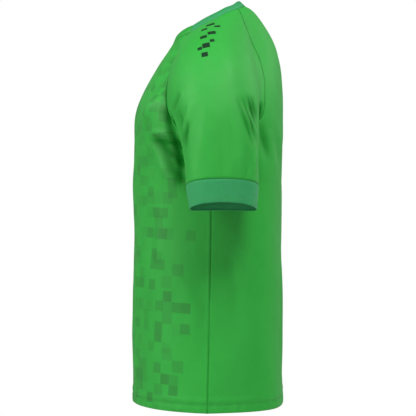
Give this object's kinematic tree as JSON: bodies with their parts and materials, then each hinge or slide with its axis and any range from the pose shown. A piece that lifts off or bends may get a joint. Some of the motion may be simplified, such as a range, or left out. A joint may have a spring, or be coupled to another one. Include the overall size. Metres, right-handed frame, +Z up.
{
  "type": "football jersey",
  "caption": "Short-sleeved football jersey with raglan sleeves, a neckband and cuff bands, in worn form with nobody in it.",
  "frame": {"origin": "middle of the neck, level with the tops of the shoulders, where the wearer's shoulders hold the jersey up", "axes": "+Z up, -Y towards the wearer's front, +X towards the wearer's left"},
  "size_m": [0.6018, 0.276, 0.732],
  "materials": {
    "front_knit": "smooth polyester knit with a tone-on-tone pattern of squares",
    "body_knit": "smooth polyester knit, slight sheen",
    "band_knit": "fine ribbed knit, matt",
    "thread": "polyester sewing thread",
    "print": "thin heat-pressed film"
  },
  "bodies": {
    "root": {"front": "front_knit", "back": "body_knit", "sleeve_left": "body_knit", "sleeve_right": "body_knit", "cuff_left": "band_knit", "cuff_right": "band_knit", "collar": "band_knit", "collar_front": "body_knit"}
  },
  "joints": []
}
